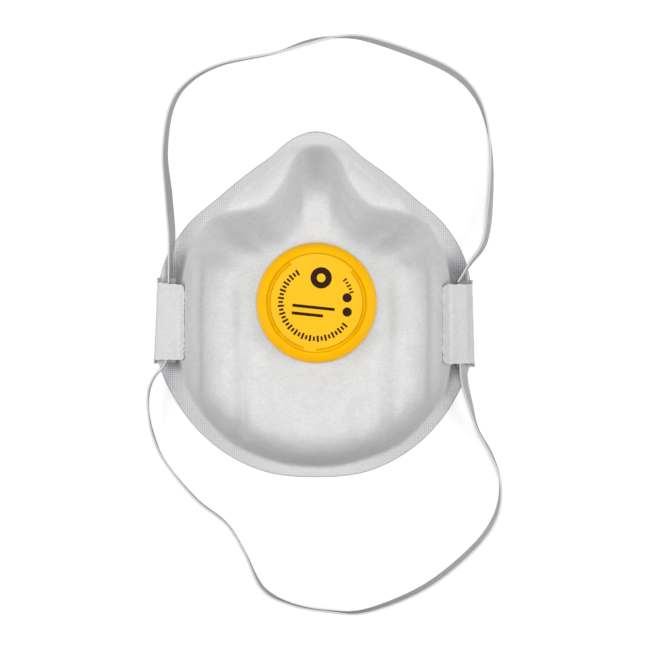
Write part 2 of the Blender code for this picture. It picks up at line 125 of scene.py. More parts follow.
# Most painted shade in the pleats' grooves, and the depth that gives it.
PLEAT_SHADE = 0.3
PLEAT_SHADE_DEPTH = 1.5
FELT_LUMPS = ((8.0, 0.16), (2.6, 0.07))
RIM_LUMP_SHARE = 0.2
# Embossed squares: pitch, and strength from the nose to the sleeves.
GRID_PITCH = 0.85
GRID_STRENGTH = (0.4, 1.2)
GRID_ACROSS = (14, 46)

# Elastic.
STRAP_WIDTH = 5.0
STRAP_THICKNESS = 0.8
STRAP_FLOOR_GAP = 0.1
SLEEVE_STRAP_Z = 6.2
DESCENT_START = 12.5
DESCENT_LENGTH = 26.0
STRAP_SPACING = 1.3
STRAP_RIBS = 6
STRAP_RIB_DEPTH = 0.07
KNIT_PITCH = 0.7
# Plain border beside the ribs, and its round edge as (inwards, through).
STRAP_BORDER = 0.25
STRAP_EDGE = (0.06, 0.22)
# Where each loop's hinge lies along Y.
HEAD_HINGE_Y = 14.0
NECK_HINGE_Y = -28.0
HEAD_ROUTE = (
    (-58.4, 7.8, 0), (-58.3, 11.7, 2), (-58, 18, 10), (-57.4, 26.4, 28), (-58.9, 42.8, 30),
    (-60.3, 60.4, 19), (-57.7, 77.7, 15), (-50.9, 87.8, 7), (-38.2, 94.8, 0), (-16.9, 99.3, -7),
    (-4.3, 103.5, -23), (6, 105.6, -10), (18.9, 105.3, 12), (39.4, 98.8, 21), (54.1, 91.9, 21),
    (62.7, 83.7, 15), (67.3, 73.2, 3), (69.6, 57.5, -15), (68.9, 37, -30), (66.5, 23.8, -26),
    (61.4, 16.4, -16), (58.4, 12, -8), (56, 8, -6))
NECK_ROUTE = (
    (-59, -21.6, 0), (-60.8, -25.6, 0), (-64, -28.8, 0), (-66.4, -34.5, 0), (-66.9, -42.5, -5),
    (-65.1, -52.7, 1), (-60.3, -63.7, -5), (-48, -78.4, -1), (-36, -88.1, -3), (-28.7, -99.7, -3),
    (-21.5, -113.9, 8), (-9.8, -120.5, -2), (4.9, -123.2, -6), (19.9, -123.1, 7),
    (42.7, -113.9, 15), (61.5, -99.1, 16), (71.2, -86, 13), (73.5, -72.4, -2), (69.8, -60.6, -13),
    (64.1, -50.3, -11), (60.9, -39.9, -26), (58.8, -32, -36), (58.2, -25.6, -40),
    (58.1, -22.4, -40))
LEFT_RUN = ((-59.0, -21.0, 0), (-58.5, -7, 0), (-58.4, 7.0, 0))
RIGHT_RUN = ((58.1, -22.0, 40), (57.6, -7, 24), (56.2, 6.6, 8))
HEAD_LENGTH = 0.3
NECK_LENGTH = 0.29

# Strap sleeves: the middle of the folded strip as (outwards from the weld line, up).
SLEEVE_ROWS = 120
WELD_LINE = 55.6
SLEEVE_PATH = (
    (0.3, 3.0), (3.5, 3.0), (6.4, 3.0), (7.3, 3.5), (7.6, 4.6), (7.65, 6.9), (7.35, 8.35),
    (5.8, 9.1), (3.5, 9.4), (0.6, 10.0), (-1.6, 10.6), (-3.4, 12.0))
SLEEVE_LUMPS = ((4.0, 0.10),)
SLEEVE_SCALLOPS = 9
SCALLOP_DEPTH = 0.35
# Crimp in the upper leg: groove as (depth, half width), ridge behind it as (distance, height,
# half width), and puckers between it and the edge.
CRIMP_REACH = 2.3
CRIMP_GROOVE = (0.30, 0.5)
CRIMP_RIDGE = (1.1, 0.25, 0.7)
PUCKER_HEIGHT = 0.20
SLEEVE_SAG = 0.35
# The lower leg and the fold stick out past the upper leg. Its ends are ragged by waves of
# (height, radians in a millimetre).
MOUTH_OVERHANG = 1.5
MOUTH_FADE = (2.6, -0.4)
CORNER = 2.2
RAGGED = ((0.12, 2.1), (0.08, 5.3))
WEB_THICKNESS = 0.55
SLEEVE_GAP = 0.15
SLEEVE_SPANS = {"left": (-22.4, 8.4), "right": (-23.8, 7.5)}
# How much nearer the weld line each fold lies, and how far its head end leans in.
SLEEVE_TUCK = {"left": 0.0, "right": 1.5}
SLEEVE_TUCK_SPAN = (2.5, 7.0)
FOLD_FLARE = 0.3
FOLD_RIPPLE = 0.10
# How much further each crimped edge climbs the wall, over the leg inwards of CLIMB_START.
SLEEVE_CLIMB = {"left": 0.6, "right": 3.5}
CLIMB_START = 3.5
SLEEVE_LEAN = {"left": 0.7, "right": 0.45}
# How far the upper leg's head end falls back towards its crimped edge.
SLEEVE_SLANT = {"left": 1.4, "right": 0.2}
# Rim darkened by painted shade at each sleeve's two mouths: side, reach past the head and neck
# ends, inner and outer edge. The inner edge spreads inwards away from the sleeve's middle.
MOUTH_SHADES = (("left", 13.0, 5.0, 56.0, 61.0), ("right", 12.0, 7.0, 55.2, 61.0))
MOUTH_MIDDLE = -7
MOUTH_SPREAD = 0.2
MOUTH_EDGE = 2.0
MOUTH_TOP = RIM_TOP + 4

# Valve, with heights above the seat's underside.
VALVE_STEPS = 160
ROD_STEPS = 24
SEAT_BASE = 47.3
SEAT_PROFILE = (
    (22.2, 0.0), (22.2, 2.7), (21.9, 3.9), (21.2, 5.0), (20.2, 5.9), (19.3, 6.45), (18.6, 6.6),
    (18.3, 6.4), (18.0, 5.95), (17.0, 5.85), (17.0, 1.6), (13.9, 1.6), (13.6, 3.0), (13.2, 3.0),
    (12.9, 1.6), (12.6, 1.4), (12.6, -5.4), (13.2, -5.8), (15.0, -5.2), (15.0, 0.0))
SEAT_CORNER = 0.3
SPOKE_COUNT = 6
SPOKE_SIZE = (1.4, 1.2)
SPOKE_MIDDLE = 0.9
SPOKE_OVERLAP = 0.6
HUB_RADIUS = 2.4
STUD_RADIUS = 0.9
STUD_TOP = 5.3
BAR_BEVEL = 0.2
DISC_CORNER = 0.12
DISC_PROFILE = ((1.2, 3.3), (9.0, 3.34), (14.0, 3.3), (14.0, 3.66), (9.0, 3.72), (1.2, 3.7))
CAP_RADIUS = 16.9
CAP_SHIELD_RADIUS = 18.1
CAP_SHIELD_ANGLES = (42, 123)
CAP_LATCH_ANGLES = (254, 270)
CAP_NOTCH = 0.5
CAP_HEIGHTS = (7.0, 8.3)
CAP_LEG_COUNT = 4
CAP_LEG_RADIUS = 1.0
CAP_LEG_CIRCLE = 15.7
CAP_LEG_FOOT = 1.9
# Cap's edge, from its top to its underside, as (inwards, up).
CAP_EDGE = (
    (0.75, 8.3), (0.42, 8.3), (0.24, 8.26), (0.09, 8.14), (0.02, 7.97), (0.0, 7.8), (0.0, 7.3),
    (0.06, 7.1), (0.2, 7.0), (0.6, 7.0))
# Plain printed marks on the cap: ticks as (from, to, step in degrees, radius, length, width).
TICK_SHORT = 0.7
TICKS = ((122, 322, 6.25, 13.1, 2.3, 0.75), (17, 39, 5.5, 13.4, 1.6, 0.6))
MARK_THICKNESS = 0.04
MARK_SINK = 0.05
MARK_RING = (1.7, 9.2, 3.9, 1.6)
MARK_DOTS = ((11.2, 1.9, 1.7), (11.2, -3.3, 1.7))
MARK_BARS = ((-0.9, -1.7, 15.5, 1.1), (-2.9, -4.5, 11.5, 1.1))
MARK_TURN = -6
RING_CORNER = 0.25
RING_PROFILE = ((15.3, -5.2), (18.7, -5.2), (19.0, -4.8), (19.0, -3.7), (15.3, -3.7))

# Nose clip and foam: shares of the way from the flat top to the foot, and depths.
NOSE_HALF_ANGLE = 48
NOSE_ROWS = 150
# Rough length of the wall in millimetres, which makes a share a length.
WALL_LENGTH = 30
FOAM_BAND = (0.80, 0.93)
FOAM_DEPTHS = (3.8, 6.8)
FOAM_CORNER = 0.7
FOAM_END = 0.90
FOAM_LUMPS = ((2.2, 0.12),)
GROOVE_DEPTH = 0.75
GROOVE_ROOM = 0.01
CLIP_BAND = (0.85, 0.89)
CLIP_DEPTHS = (3.85, 4.25)
CLIP_CORNER = 0.12


# ---- mesh helpers ----

def smoothstep(value):
    value = np.clip(value, 0.0, 1.0)
    return value * value * (3 - 2 * value)


def unit(vectors):
    return vectors / np.linalg.norm(vectors, axis=-1, keepdims=True)


def run_length(points):
    """Distance along a line of points, from its start to each."""
    return np.concatenate([[0], np.cumsum(np.linalg.norm(np.diff(points, axis=0), axis=1))])


def fade(value, none, whole):
    """Smooth share: 0 where value is at none, 1 where it is at whole."""
    return smoothstep((value - none) / (whole - none))


def new_object(name, data):
    obj = bpy.data.objects.new(name, data)
    bpy.context.scene.collection.objects.link(obj)
    return obj


def add_mesh(name, points, faces, material, body, slot, replaced=()):
    """A smooth-shaded piece from points in millimetres, riding on a body."""
    mesh = bpy.data.meshes.new(name)
    mesh.from_pydata((np.asarray(points) * MM).tolist(), [], faces)
    mesh.validate()
    mesh.shade_smooth()
    mesh.materials.append(material)
    obj = new_object(name, mesh)
    if body:
        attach(obj, body)
    if replaced:
        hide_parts(*replaced)
    return obj


def grid_faces(rows, columns, wrap_rows, wrap_columns):
    """Quads over a rows by columns grid of points."""
    i = np.arange(rows if wrap_rows else rows - 1)[:, None]
    k = np.arange(columns if wrap_columns else columns - 1)[None, :]
    after_i, after_k = (i + 1) % rows, (k + 1) % columns
    corners = (
        i * columns + k, i * columns + after_k, after_i * columns + after_k, after_i * columns + k)
    return np.stack(np.broadcast_arrays(*corners), axis=-1).reshape(-1, 4).tolist()


def capped_faces(rows, columns):
    """Quads of a closed section carried along rows, with both ends closed."""
    last = (rows - 1) * columns
    return grid_faces(rows, columns, False, True) + [
        list(range(columns)), list(reversed(range(last, last + columns)))]


def store(obj, name, values):
    attribute = obj.data.attributes.new(name, "FLOAT", "POINT")
    attribute.data.foreach_set("value", np.asarray(values, np.float32).ravel())


def catmull_rom(points, per_span):
    """Smooth curve through points, as an array."""
    points = np.asarray(points, float)
    ends = np.vstack([2 * points[0] - points[1], points, 2 * points[-1] - points[-2]])
    t = (np.arange(per_span) / per_span)[:, None]
    pieces = []
    for p0, p1, p2, p3 in zip(ends, ends[1:], ends[2:], ends[3:]):
        pieces.append(0.5 * (2 * p1 + (p2 - p0) * t + (2 * p0 - 5 * p1 + 4 * p2 - p3) * t**2
                             + (3 * p1 - p0 - 3 * p2 + p3) * t**3))
    return np.vstack(pieces + [points[-1:]])


def lumps(points, settings, seed):
    """Sum of noises of (size, height) over points, in millimetres."""
    total = np.zeros(len(points))
    for size, height in settings:
        total += height * np.array(
            [noise.noise(Vector(p) / size + Vector((seed, 0, 0))) for p in points])
    return total


# ---- materials ----

class Nodes:
    """Short calls for one material's nodes."""

    def __init__(self, name, colour, roughness, **sockets):
        self.material = bpy.data.materials.new(name)
        self.material.use_nodes = True
        self.tree = self.material.node_tree
        self.shader = self.tree.nodes["Principled BSDF"]
        self.shader.inputs["Base Color"].default_value = (*colour, 1)
        self.shader.inputs["Roughness"].default_value = roughness
        for socket, value in sockets.items():
            self.shader.inputs[socket.replace("_", " ")].default_value = value
        self.place = self.add("ShaderNodeTexCoord").outputs["Object"]

    def add(self, kind, **settings):
        node = self.tree.nodes.new(kind)
        for name, value in settings.items():
            setattr(node, name, value)
        return node

    def link(self, source, target):
        self.tree.links.new(source, target)

    def math(self, operation, first, second=None):
        node = self.add("ShaderNodeMath", operation=operation)
        for socket, value in zip(node.inputs, (first, second)):
            if isinstance(value, (int, float)):
                socket.default_value = value
            elif value is not None:
                self.link(value, socket)
        return node.outputs[0]

    def noise(self, size_mm, detail=3.0, roughness=0.6, stretch=None):
        """Noise over the object, with features of about this size."""
        node = self.add("ShaderNodeTexNoise")
        node.inputs["Scale"].default_value = 1 / (size_mm * MM)
        node.inputs["Detail"].default_value = detail
        node.inputs["Roughness"].default_value = roughness
        source = self.place
        if stretch:
            mapping = self.add("ShaderNodeMapping")
            mapping.inputs["Scale"].default_value = stretch
            self.link(source, mapping.inputs["Vector"])
            source = mapping.outputs[0]
        self.link(source, node.inputs["Vector"])
        return node.outputs["Fac"]

    def attribute(self, name):
        return self.add("ShaderNodeAttribute", attribute_name=name).outputs["Fac"]

    def ramp(self, value, low, high, from_low=0.0, from_high=1.0):
        node = self.add("ShaderNodeMapRange")
        for socket, number in zip(node.inputs[1:5], (from_low, from_high, low, high)):
            socket.default_value = number
        self.link(value, node.inputs[0])
        return node.outputs[0]

    def mix(self, share, first, second):
        node = self.add("ShaderNodeMix", data_type="RGBA")
        self.link(share, node.inputs["Factor"])
        for socket, colour in ((node.inputs[6], first), (node.inputs[7], second)):
            if isinstance(colour, tuple):
                socket.default_value = (*colour, 1)
            else:
                self.link(colour, socket)
        return node.outputs[2]

    def bumps(self, *heights):
        """Chained bumps from (height, distance in millimetres, strength)."""
        normal = None
        for height, distance, strength in heights:
            node = self.add("ShaderNodeBump")
            node.inputs["Distance"].default_value = distance * MM
            node.inputs["Strength"].default_value = strength
            self.link(height, node.inputs["Height"])
            if normal:
                self.link(normal, node.inputs["Normal"])
            normal = node.outputs[0]
        self.link(normal, self.shader.inputs["Normal"])

    def colour(self, source):
        self.link(source, self.shader.inputs["Base Color"])

    def rough(self, source):
        self.link(source, self.shader.inputs["Roughness"])


def weld_grid(nodes, pitch):
    """Small embossed squares in line with X and Y, 0 in the squares and 1 on the lines."""
    parts = nodes.add("ShaderNodeSeparateXYZ")
    nodes.link(nodes.place, parts.inputs[0])
    waves = []
    for axis in (0, 1):
        wave = nodes.math(
            "SINE", nodes.math("MULTIPLY", parts.outputs[axis], math.pi / (pitch * MM)))
        waves.append(nodes.math("POWER", nodes.math("ABSOLUTE", wave), 3.0))
    return nodes.math("MAXIMUM", *waves)


def felt_material():
    nodes = Nodes("white_felt", (0.84, 0.84, 0.835), 0.95, Sheen_Weight=0.25, Sheen_Roughness=0.6)
    weld = nodes.attribute("weld")
    soft = nodes.noise(5.0)
    patchy = nodes.math(
        "MULTIPLY", nodes.attribute("emboss"), nodes.ramp(nodes.noise(7.0), 0.5, 1, 0.35, 0.65))
    lines = weld_grid(nodes, GRID_PITCH)
    grid = nodes.math("MULTIPLY", lines, patchy)
    tone = nodes.math(
        "ADD", nodes.math("MULTIPLY", nodes.math("SUBTRACT", lines, 0.62), patchy), 0.54)
    fibre = nodes.noise(0.5, detail=4, roughness=0.7)
    wisps = nodes.noise(1.5, detail=4, roughness=0.65, stretch=(1, 1.8, 1))
    plain = nodes.mix(nodes.ramp(soft, 0, 1, 0.3, 0.7), (0.79, 0.79, 0.79), (0.86, 0.86, 0.86))
    speckled = nodes.mix(nodes.ramp(fibre, 0, 0.6, 0.45, 0.7), plain, (0.93, 0.93, 0.93))
    flecked = nodes.mix(nodes.ramp(wisps, 0, 0.5, 0.45, 0.7), speckled, (0.71, 0.71, 0.71))
    welded = nodes.mix(nodes.ramp(tone, 0, 1), (0.94, 0.94, 0.955), (0.58, 0.58, 0.605))
    clean = nodes.mix(weld, flecked, welded)
    # Painted shade on the rim past the sleeves' mouths: a dark grey that keeps the grid.
    mouth_shade_colour = nodes.mix(nodes.ramp(grid, 0, 1), (0.50, 0.50, 0.52), (0.17, 0.17, 0.19))
    # Painted shade in the pleats' grooves.
    pleat_shade = nodes.mix(nodes.attribute("pleat_shade"), clean, (0.70, 0.70, 0.705))
    shaded = nodes.mix(nodes.attribute("mouth_painted_shade"), pleat_shade, mouth_shade_colour)
    # Painted shade along the rim's rolled lip.
    nodes.colour(
        nodes.mix(nodes.ramp(nodes.attribute("edge"), 0, 0.5), shaded, (0.50, 0.50, 0.53)))
    nodes.rough(nodes.ramp(weld, 0.95, 0.6))
    nodes.bumps((fibre, 0.22, 0.9), (wisps, 0.4, 0.8), (grid, 0.15, 0.7))
    return nodes.material


def web_material(name, colour, shade, size):
    """Thin spun web: faint crossing fibres."""
    nodes = Nodes(name, colour, 0.8, Sheen_Weight=0.15)
    fibre = nodes.noise(size, detail=5, roughness=0.7)
    strands = nodes.noise(size * 2, detail=4, roughness=0.7, stretch=(3, 0.6, 1))
    nodes.colour(nodes.mix(nodes.ramp(strands, 0, 1, 0.35, 0.75), colour, shade))
    nodes.bumps((fibre, 0.08, 0.5), (strands, 0.12, 0.5))
    return nodes.material


def sleeve_material():
    """Soft web of the sleeves, darkened by painted shade inside the fold."""
    nodes = Nodes("sleeve_web", (0.80, 0.81, 0.81), 0.85, Sheen_Weight=0.2)
    fibre = nodes.noise(0.4, detail=5, roughness=0.7)
    clumps = nodes.noise(2.2, detail=4, roughness=0.65)
    face = nodes.mix(
        nodes.ramp(clumps, 0, 1, 0.35, 0.7), (0.79, 0.795, 0.795), (0.73, 0.735, 0.735))
    # Painted shade on the faces inside the fold.
    fold_shade = nodes.ramp(nodes.attribute("fold_shade"), 0, 0.6)
    nodes.colour(nodes.mix(fold_shade, face, (0.42, 0.42, 0.43)))
    nodes.bumps((fibre, 0.12, 0.7), (clumps, 0.35, 0.7))
    return nodes.material


def elastic_material():
    nodes = Nodes("ribbed_elastic", (0.74, 0.74, 0.745), 0.75, Sheen_Weight=0.2)
    along, across = nodes.attribute("along"), nodes.attribute("across")
    knit = nodes.math("SINE", nodes.math("MULTIPLY", along, math.tau / KNIT_PITCH))
    ribs = nodes.math(
        "ABSOLUTE", nodes.math("SINE", nodes.math("MULTIPLY", across, math.pi * STRAP_RIBS)))
    weave = nodes.math("MULTIPLY", nodes.ramp(knit, 0, 1, -1, 1), ribs)
    patch = nodes.noise(3.0)
    # The face is greyer than the white elastic: painted shade.
    face = nodes.mix(nodes.ramp(patch, 0, 1, 0.3, 0.7), (0.57, 0.575, 0.59), (0.65, 0.655, 0.67))
    ribbed = nodes.mix(nodes.ramp(weave, 0.55, 0), face, (0.42, 0.425, 0.44))
    # The edges are lighter than the face: painted highlight.
    from_middle = nodes.math("ABSOLUTE", nodes.ramp(across, -1, 1))
    nodes.colour(
        nodes.mix(nodes.ramp(from_middle, 0, 1, 0.88, 0.98), ribbed, (0.80, 0.805, 0.81)))
    nodes.bumps((weave, 0.08, 0.6), (nodes.noise(0.3), 0.04, 0.4))
    return nodes.material


def plastic_material(name, colour, shade, roughness, painted_glow):
    """Bright pigmented plastic: slight flow clouding, a fine satin grain, and a faint glow that is
    painted light.
    """
    nodes = Nodes(name, colour, roughness, Specular_IOR_Level=0.12,
                  Emission_Color=(*colour, 1), Emission_Strength=painted_glow)
    cloud = nodes.noise(9.0, detail=2)
    grain = nodes.noise(0.25)
    nodes.colour(nodes.mix(nodes.ramp(cloud, 0, 1, 0.3, 0.7), colour, shade))
    nodes.rough(nodes.ramp(grain, roughness - 0.06, roughness + 0.08))
    nodes.bumps((grain, 0.02, 0.4), (cloud, 0.15, 0.25))
    return nodes.material


def specked_material(name, base, roughness, grain, span, shades, bump, **sockets):
    """Smooth stuff with specks of (size, detail), shaded over a span of their noise."""
    nodes = Nodes(name, base, roughness, **sockets)
    speck = nodes.noise(*grain)
    nodes.colour(nodes.mix(nodes.ramp(speck, 0, 1, *span), *shades))
    nodes.bumps((speck, *bump))
    return nodes.material


def ink_material():
    return specked_material(
        "pad_print_ink", (0.04, 0.015, 0.008), 0.6, (0.3, 3), (0.55, 0.8),
        ((0.035, 0.013, 0.007), (0.10, 0.045, 0.012)), (0.02, 0.3), Specular_IOR_Level=0.2)


def silicone_material():
    return specked_material("silicone", (0.80, 0.82, 0.80), 0.45, (1.2, 4), (0.4, 0.75),
                            ((0.82, 0.84, 0.82), (0.72, 0.74, 0.71)), (0.05, 0.3),
                            Subsurface_Weight=0.3, Subsurface_Scale=0.003)


def aluminium_material():
    nodes = Nodes("rolled_aluminium", (0.78, 0.79, 0.80), 0.35, Metallic=1.0)
    rolled = nodes.noise(0.8, stretch=(0.2, 4, 4))
    nodes.rough(nodes.ramp(rolled, 0.28, 0.5))
    nodes.bumps((rolled, 0.03, 0.4))
    return nodes.material


def foam_material():
    nodes = Nodes("nose_foam", (0.30, 0.31, 0.33), 0.95)
    cells = nodes.add("ShaderNodeTexVoronoi")
    cells.inputs["Scale"].default_value = 1 / (0.7 * MM)
    nodes.link(nodes.place, cells.inputs["Vector"])
    distance = cells.outputs["Distance"]
    nodes.colour(
        nodes.mix(nodes.ramp(distance, 0, 1, 0.1, 0.6), (0.16, 0.165, 0.18), (0.38, 0.39, 0.41)))
    nodes.bumps((distance, 0.3, 0.8), (nodes.noise(2.5), 0.3, 0.4))
    return nodes.material


def floor_material():
    return Nodes("pale_floor", (0.93, 0.93, 0.93), 0.9, Emission_Color=(1, 1, 1, 1),
                 Emission_Strength=FLOOR_GLOW).material


# ---- camera and light ----

def make_camera():
    data = bpy.data.cameras.new("camera")
    data.lens, data.sensor_width = CAMERA_LENS, CAMERA_SENSOR
    data.clip_start = 0.01
    camera = new_object("camera", data)
    forward = (Vector(CAMERA_TARGET) - Vector(CAMERA_AT)).normalized()
    right = forward.cross((0, 1, 0)).normalized()
    turn = Matrix((right, right.cross(forward), -forward)).transposed()
    camera.matrix_world = Matrix.Translation(CAMERA_AT) @ turn.to_4x4()
    bpy.context.scene.camera = camera


def make_light(name, location, size, power, glossy):
    data = bpy.data.lights.new(name, "AREA")
    data.shape = "RECTANGLE"
    data.size, data.size_y = size
    data.energy = power
    light = new_object(name, data)
    light.location = location
    light.visible_glossy = glossy
    towards = Vector(LIGHT_TARGET) - light.location
    light.rotation_euler = towards.to_track_quat("-Z", "Y").to_euler()


def make_studio():
    world = bpy.data.worlds.new("studio")
    world.use_nodes = True
    background = world.node_tree.nodes["Background"].inputs
    background["Color"].default_value = (1, 1, 1, 1)
    background["Strength"].default_value = WORLD_STRENGTH
    bpy.context.scene.world = world
    bpy.context.scene.view_settings.view_transform = "Standard"
    for light in LIGHTS:
        make_light(*light)
    mesh = bpy.data.meshes.new("floor")
    corners = [(x * FLOOR_HALF, y * FLOOR_HALF, 0)
               for x, y in ((-1, -1), (1, -1), (1, 1), (-1, 1))]
    mesh.from_pydata(corners, [], [(0, 1, 2, 3)])
    mesh.materials.append(floor_material())
    floor = new_object("floor", mesh)
    floor.visible_diffuse = False


# ---- elastic ----

def spaced_route(route):
    """Evenly spaced (x, y, lean) along the smooth route, and the distance along it."""
    fine = catmull_rom(route, 24)
    length = run_length(fine[:, :2])
    count = max(int(round(length[-1] / STRAP_SPACING)), 8)
    wanted = np.linspace(0, length[-1], count + 1)
    return np.stack([np.interp(wanted, length, fine[:, i]) for i in range(3)], axis=1), wanted


def ribbon_section():
    """Ribbed section as (across, through, share across), all the way round."""
    samples = STRAP_RIBS * 4
    half = STRAP_WIDTH / 2
    share = np.linspace(0, 1, samples + 1)
    across = (2 * share - 1) * (half - STRAP_BORDER)
    through = STRAP_THICKNESS / 2 - STRAP_RIB_DEPTH * np.cos(math.pi * STRAP_RIBS * share) ** 2
    front = list(zip(across, through, share))
    back = [(-a, -t, 1 - s) for a, t, s in front]
    inwards, aside = STRAP_EDGE
    edge = [(half - inwards, aside, 1), (half, 0, 1), (half - inwards, -aside, 1)]
    other = [(-a, -t, 0) for a, t, s in edge]
    return np.array(front + edge + back + other)


def make_ribbon(name, route, turn, material, body, replaced, flat=False):
    """A band of elastic on its edge along the route. turn is -1 where outwards is to its right.
    flat keeps it at its height inside the sleeve."""
    spaced, distance = spaced_route(route)
    lean = np.radians(spaced[:, 2]) * turn
    to_end = np.minimum(distance, distance[-1] - distance)
    half_up = (STRAP_WIDTH * np.cos(lean) + STRAP_THICKNESS * np.abs(np.sin(lean))) / 2
    lying = half_up + STRAP_FLOOR_GAP
    share = smoothstep((to_end - DESCENT_START) / DESCENT_LENGTH) * (0 if flat else 1)
    height = SLEEVE_STRAP_Z + (lying - SLEEVE_STRAP_Z) * share
    centre = np.column_stack([spaced[:, :2], height])
    along = unit(np.gradient(centre, axis=0))
    flat_along = unit(along * (1, 1, 0))
    beside = np.column_stack([-flat_along[:, 1], flat_along[:, 0], np.zeros(len(centre))])
    up = np.cos(lean)[:, None] * (0, 0, 1) + np.sin(lean)[:, None] * beside
    through = unit(np.cross(along, up))
    section = ribbon_section()
    points = (centre[:, None] + section[None, :, 0:1] * up[:, None]
              + section[None, :, 1:2] * through[:, None])
    rows, columns = points.shape[:2]
    obj = add_mesh(name, points.reshape(-1, 3), capped_faces(rows, columns), material, body,
                   "elastic", replaced)
    store(obj, "along", np.repeat(distance, columns))
    store(obj, "across", np.tile(section[:, 2], rows))
    return obj, centre * MM


def make_straps():
    elastic = elastic_material()
    for name, route, turn, hinge, length, loop in (
            ("head_elastic", HEAD_ROUTE, 1, HEAD_HINGE_Y, HEAD_LENGTH, "head"),
            ("neck_elastic", NECK_ROUTE, -1, NECK_HINGE_Y, NECK_LENGTH, "neck")):
        obj, centre = make_ribbon(name, route, turn, elastic, None, (loop + "_strap",))
        side = 1 if hinge > 0 else -1
        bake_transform(obj)
    for side, route in (("left", LEFT_RUN), ("right", RIGHT_RUN)):
        make_ribbon(
            side + "_elastic_run", route, 1, elastic, "mask", (side + "_strap_run",), flat=True)


# ---- cup ----

def outline_radius(points, angles):
    """Radius of a symmetric half outline at angles from the nose direction."""
    angles = np.abs((angles + np.pi) % math.tau - np.pi)
    knots = np.array([(math.atan2(x, y), math.hypot(x, y)) for x, y in points])
    a = np.concatenate([[-knots[1, 0]], knots[:, 0], [math.tau - knots[-2, 0]]])
    r = np.concatenate([[knots[1, 1]], knots[:, 1], [knots[-2, 1]]])
    slopes = np.zeros(len(a))
    slopes[1:-1] = (r[2:] - r[:-2]) / (a[2:] - a[:-2])
    i = np.clip(np.searchsorted(a, angles), 2, len(a) - 2) - 1
    span = a[i + 1] - a[i]
    t = (angles - a[i]) / span
    return ((2 * t**3 - 3 * t**2 + 1) * r[i] + (t**3 - 2 * t**2 + t) * slopes[i] * span
            + (3 * t**2 - 2 * t**3) * r[i + 1] + (t**3 - t**2) * slopes[i + 1] * span)


def rim_radius(angles):
    """Radius of the rim's edge, trimmed closer on the right cheek."""
    degrees = np.degrees(angles) % 360
    trim = RIM_TRIM * fade(degrees, *RIM_TRIM_IN) * fade(degrees, *reversed(RIM_TRIM_OUT))
    return outline_radius(RIM_OUTLINE, angles) - trim


def sharp_height(x, y):
    """Height of the cup before its foot is rounded."""
    angles = np.arctan2(x, y)
    foot = outline_radius(FOOT_OUTLINE, angles)
    share = np.clip((np.hypot(x, y) - TOP_RADIUS) / (foot - TOP_RADIUS), 0, 1)
    degrees = np.abs(np.degrees(angles))
    table = np.array(WALL_SHAPES)
    i = np.clip(np.searchsorted(table[:, 0], degrees), 1, len(table) - 1)
    blend = smoothstep((degrees - table[i - 1, 0]) / (table[i, 0] - table[i - 1, 0]))
    start, softness = (
        table[i - 1, k] + (table[i, k] - table[i - 1, k]) * blend for k in (1, 2))
    at_top, here, at_foot = (np.logaddexp(0, (s - start) / softness) for s in (0, share, 1))
    return RIM_TOP + (TOP_HEIGHT - RIM_TOP) * (at_foot - here) / (at_foot - at_top)


def to_edges(x, y):
    """Distance outwards to the rim's edge, and from the foot."""
    angles, radius = np.arctan2(x, y), np.hypot(x, y)
    return rim_radius(angles) - radius, radius - outline_radius(FOOT_OUTLINE, angles)


def loose_room(x, y):
    """Share of loose felt between weld and foot: only on the wide shelves beside the nose."""
    to_rim, from_foot = to_edges(x, y)
    return fade(to_rim + from_foot, *WELT_WIDTHS) * fade(y, *WELT_ALONG)


def welt_height(x, y):
    """Rise of the loose felt between the weld band and the foot."""
    to_rim, from_foot = to_edges(x, y)
    width = np.maximum(to_rim + from_foot - WELD_BAND, 0.5)
    ramp = np.clip((to_rim - WELD_BAND) / (WELT_CREST * width), 0, 1)
    shape = np.where(from_foot > -WELT_INSIDE_FOOT, ramp * (2 - ramp), 0)
    return WELT_HEIGHT * loose_room(x, y) * shape


def cup_height(x, y):
    """Height of the cup's outer surface, with a soft fillet round its foot."""
    on_shelf = fade(y, *SHELF_ALONG) * fade(np.abs(x), *SHELF_ACROSS)
    reach = 1 + (SHELF_FILLET - 1) * on_shelf
    total, weights = np.zeros(np.shape(x)), 0
    for dx, wx in FILLET_TAPS:
        for dy, wy in FILLET_TAPS:
            shifted = x + dx * reach, y + dy * reach
            total += wx * wy * np.maximum(sharp_height(*shifted), RIM_TOP + welt_height(*shifted))
            weights += wx * wy
    return total / weights


def pleat_depth(x, y):
    """Depth of the upright pleats pressed into the sides."""
    total = np.zeros(np.shape(x))
    for middle, depth, width, low, high, head_fade in PLEATS:
        along = smoothstep((y - low) / PLEAT_FADE) * smoothstep((high - y) / head_fade)
        total += depth * along * np.exp(-((np.abs(x - PLEAT_SHIFT) - middle) / width) ** 2 / 2)
    return total


